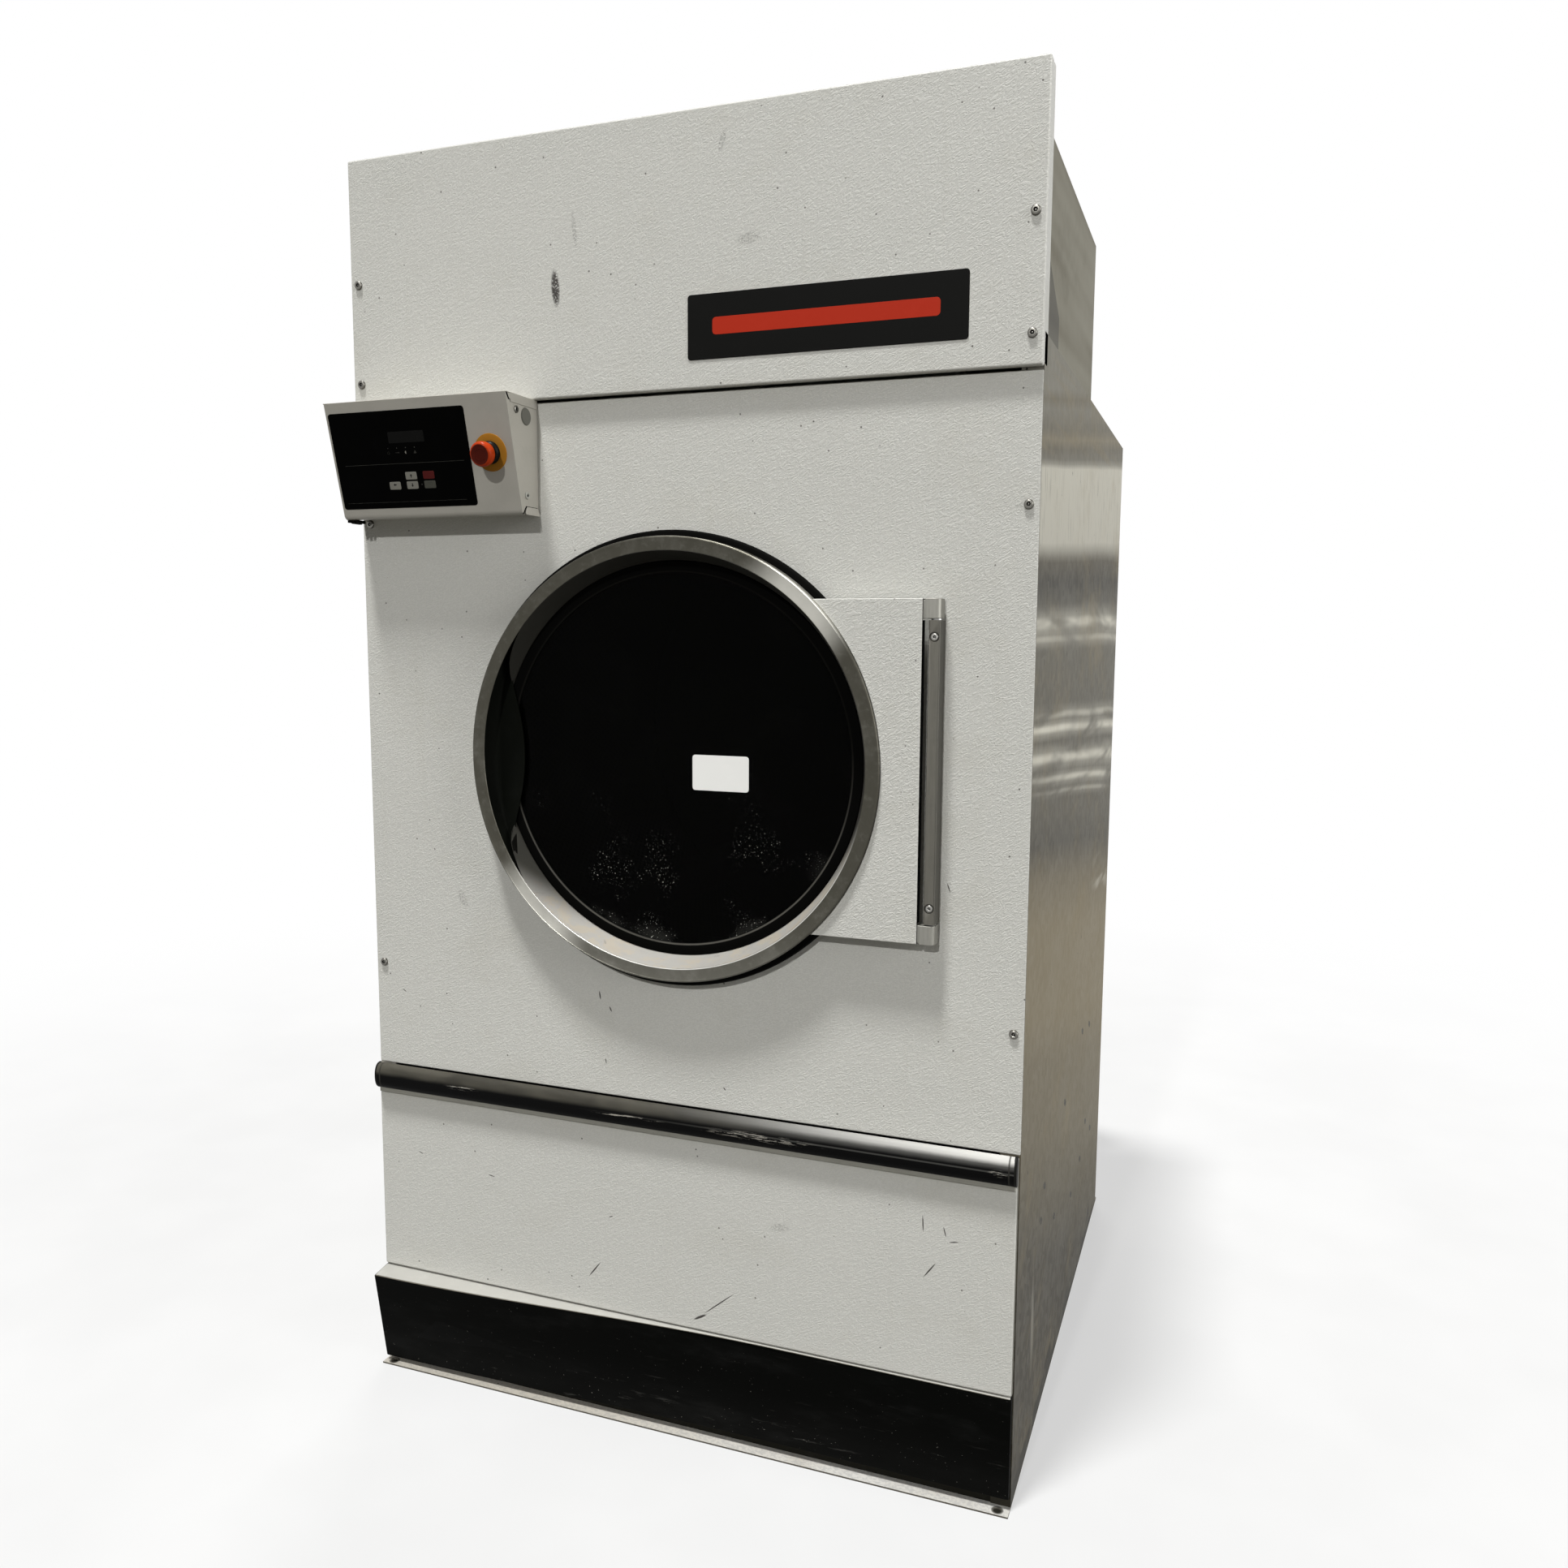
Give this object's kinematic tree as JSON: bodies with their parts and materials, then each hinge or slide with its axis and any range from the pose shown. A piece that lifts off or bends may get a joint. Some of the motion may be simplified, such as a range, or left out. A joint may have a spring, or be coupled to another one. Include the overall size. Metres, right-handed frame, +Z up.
{
  "type": "industrial tumble dryer",
  "caption": "Floor-standing industrial tumble dryer with a round glass door, a sloping control box, a lint drawer and a belt drive at the rear.",
  "frame": {"origin": "on the floor, under the middle of the base plate", "axes": "+X to the right seen from the front, +Y from the front to the rear, +Z up"},
  "size_m": [1.176, 1.6365, 2.153],
  "materials": {
    "galvanised": "satin zinc coat with faint spangle",
    "panel_paint": "off-white leather grain paint",
    "black_paint": "satin black paint, scuffed",
    "grey_paint": "smooth light grey paint",
    "brushed_steel": "brushed stainless",
    "steel": "plain machined steel",
    "zinc_screw": "bright zinc",
    "black_plastic": "satin moulded",
    "red_plastic": "gloss moulded",
    "yellow_plastic": "satin",
    "overlay_film": "gloss printed film",
    "board": "green laminate",
    "rubber": "matt black",
    "belt_rubber": "matt black",
    "felt": "grey felt",
    "glass": "clear, dark inside",
    "paper": "white paper",
    "plate_black": "gloss black",
    "retainer": "mill finish",
    "cast_iron": "grey cast, painted",
    "motor_paint": "dark blue-grey enamel",
    "brass": "plain",
    "aluminised": "aluminised sheet",
    "satin_grey": "satin grey steel"
  },
  "bodies": {
    "cabinet": {"base_frame": "galvanised", "left_side_panel": "galvanised", "right_side_panel": "galvanised", "rear_wall": "galvanised", "cabinet_cover": "galvanised", "main_front_panel": "panel_paint", "upper_front_panel": "panel_paint", "upper_panel_brackets": "galvanised", "nameplate": "plate_black", "kickplate": "black_paint", "front_screws": "zinc_screw", "control_box": "grey_paint", "control_box_plugs": "black_plastic", "control_lid": "grey_paint", "control_overlay": "overlay_film", "control_board": "board", "estop_disc": "yellow_plastic", "estop_base": "black_plastic", "hinge_bar": "satin_grey", "hinge_pins": "steel", "hinge_screws": "zinc_screw", "drawer_runners": "galvanised", "drum_front_seal": "felt", "bearing_housing": "cast_iron", "shaft_bearings": "steel", "jackshaft_bracket": "steel", "drive_belts": "belt_rubber", "drum_motor": "motor_paint", "motor_bracket": "galvanised", "blower_housing": "galvanised", "fan_motor": "motor_paint", "heater_housing": "aluminised", "burners": "aluminised", "gas_manifold": "steel", "gas_valve": "aluminised", "junction_box": "galvanised"},
    "door": {"door_ring": "brushed_steel", "door_handle": "black_plastic", "glass_gasket": "rubber", "door_glass": "glass", "glass_label": "paper", "door_seal": "rubber", "door_hinge_plate": "panel_paint", "hinge_lugs": "satin_grey"},
    "drum": {"drum_shell": "galvanised", "drum_ribs": "galvanised", "drum_spider": "steel", "drum_pulley": "cast_iron"},
    "idler": {"jackshaft": "steel", "idler_pulley": "cast_iron"},
    "motor_rotor": {"motor_pulley": "steel"},
    "impeller": {"blower_impeller": "aluminised"},
    "lint_drawer": {"drawer_front": "panel_paint", "bumper_retainer": "retainer", "bumper_cover": "rubber", "bumper_caps": "black_plastic", "drawer_tray": "galvanised", "lint_screen": "brushed_steel"},
    "stop_plunger": {"estop_plunger": "black_plastic"},
    "stop_head": {"estop_head": "red_plastic"}
  },
  "joints": [
    {"name": "door_swing", "type": "hinge", "parent": "cabinet", "child": "door", "pos_m": [0.445, -0.5915, 1.1595], "axis": [0, 0, 1], "range_deg": [0, 160]},
    {"name": "drum_spin", "type": "hinge", "parent": "cabinet", "child": "drum", "pos_m": [0, 0, 1.1595], "axis": [0, 1, 0], "continuous": true},
    {"name": "idler_spin", "type": "hinge", "parent": "cabinet", "child": "idler", "pos_m": [0.3, 0.8, 0.69], "axis": [0, 1, 0], "continuous": true},
    {"name": "motor_spin", "type": "hinge", "parent": "cabinet", "child": "motor_rotor", "pos_m": [0.44, 0.8, 0.33], "axis": [0, 1, 0], "continuous": true},
    {"name": "impeller_spin", "type": "hinge", "parent": "cabinet", "child": "impeller", "pos_m": [-0.25, 0.65, 0.4], "axis": [0, 1, 0], "continuous": true},
    {"name": "lint_drawer_slide", "type": "slide", "parent": "cabinet", "child": "lint_drawer", "axis": [0, -1, 0], "range_m": [0, 0.5]},
    {"name": "stop_press", "type": "slide", "parent": "cabinet", "child": "stop_plunger", "axis": [0, 0.9724, 0.2334], "range_m": [0, 0.005]},
    {"name": "stop_twist", "type": "hinge", "parent": "stop_plunger", "child": "stop_head", "pos_m": [-0.2775, -0.64776, 1.65151], "axis": [0, -0.9724, -0.2334], "range_deg": [0, 40]}
  ],
  "couplings": [
    {"joint": "idler_spin", "follows": "drum_spin", "ratio": 7},
    {"joint": "motor_spin", "follows": "drum_spin", "ratio": 42}
  ]
}
